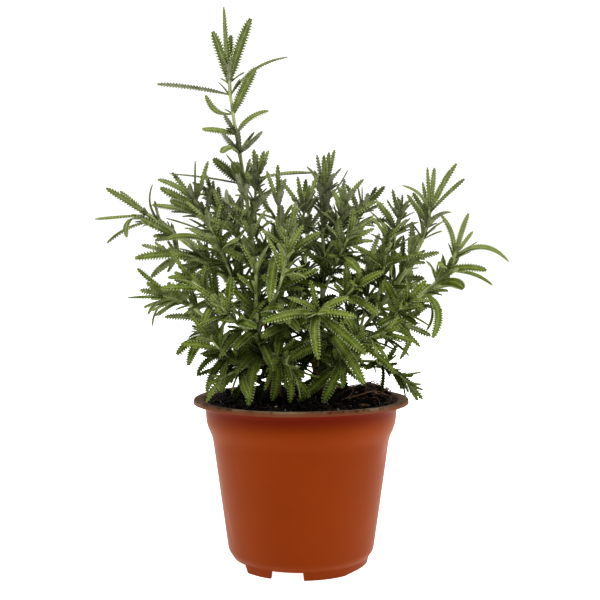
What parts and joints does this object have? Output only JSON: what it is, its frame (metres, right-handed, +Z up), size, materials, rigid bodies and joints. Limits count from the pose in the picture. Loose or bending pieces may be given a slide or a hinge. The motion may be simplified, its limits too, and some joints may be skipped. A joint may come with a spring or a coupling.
{
  "type": "potted lavender",
  "caption": "Young fringed lavender with long toothed grey-green leaves and one tall shoot, in a terracotta-coloured plastic nursery pot with a rolled rim.",
  "frame": {"origin": "centre of the circle on which the pot's foot stands, on the surface that the pot stands on", "axes": "+Z up; the pot's best-seen side and the plant's front face -Y; +X is to the right seen from the front"},
  "size_m": [0.244, 0.186, 0.337],
  "materials": {
    "terracotta_plastic": "semi-gloss injection-moulded polypropylene, dusty on the rim",
    "damp_peat": "damp dark peat with fibres and a little perlite",
    "dry_straw": "matt, dry",
    "brown_bark": "matt, fissured",
    "grey_green_leaf": "soft matt with fine grey down"
  },
  "bodies": {
    "root": {"nursery_pot": "terracotta_plastic", "potting_soil": "damp_peat", "straw_long": "dry_straw", "straw_short": "dry_straw", "bark_chip": "brown_bark", "woody_base_left": "brown_bark", "woody_base_right": "brown_bark", "back_centre_stem": "grey_green_leaf", "back_left_stem": "grey_green_leaf", "back_right_stem": "grey_green_leaf", "centre_stem": "grey_green_leaf", "front_left_stem": "grey_green_leaf", "front_right_stem": "grey_green_leaf", "high_left_stem": "grey_green_leaf", "high_right_stem": "grey_green_leaf", "leader_stem": "grey_green_leaf", "low_left_stem": "grey_green_leaf", "low_right_stem": "grey_green_leaf", "tall_centre_stem": "grey_green_leaf", "shoot_back_centre_low": "grey_green_leaf", "shoot_back_centre_side": "grey_green_leaf", "shoot_back_left_low": "grey_green_leaf", "shoot_back_left_out": "grey_green_leaf", "shoot_back_left_top": "grey_green_leaf", "shoot_back_right_low": "grey_green_leaf", "shoot_back_right_out": "grey_green_leaf", "shoot_centre_front": "grey_green_leaf", "shoot_centre_left": "grey_green_leaf", "shoot_centre_low": "grey_green_leaf", "shoot_centre_right": "grey_green_leaf", "shoot_front_left_low": "grey_green_leaf", "shoot_front_left_rim": "grey_green_leaf", "shoot_front_left_side": "grey_green_leaf", "shoot_front_left_top": "grey_green_leaf", "shoot_front_right_low": "grey_green_leaf", "shoot_front_right_side": "grey_green_leaf", "shoot_high_left_front": "grey_green_leaf", "shoot_high_left_inner": "grey_green_leaf", "shoot_high_left_low": "grey_green_leaf", "shoot_high_left_under": "grey_green_leaf", "shoot_high_left_upper": "grey_green_leaf", "shoot_high_right_back": "grey_green_leaf", "shoot_high_right_front": "grey_green_leaf", "shoot_high_right_low": "grey_green_leaf", "shoot_high_right_upper": "grey_green_leaf", "shoot_leader_back": "grey_green_leaf", "shoot_leader_front": "grey_green_leaf", "shoot_leader_left": "grey_green_leaf", "shoot_leader_low": "grey_green_leaf", "shoot_leader_right": "grey_green_leaf", "shoot_low_left_back": "grey_green_leaf", "shoot_low_left_front": "grey_green_leaf", "shoot_low_right_back": "grey_green_leaf", "shoot_low_right_front": "grey_green_leaf", "shoot_low_right_twig": "grey_green_leaf", "shoot_tall_back": "grey_green_leaf", "shoot_tall_far_right": "grey_green_leaf", "shoot_tall_front": "grey_green_leaf", "shoot_tall_low": "grey_green_leaf", "shoot_tall_right": "grey_green_leaf"}
  },
  "joints": []
}
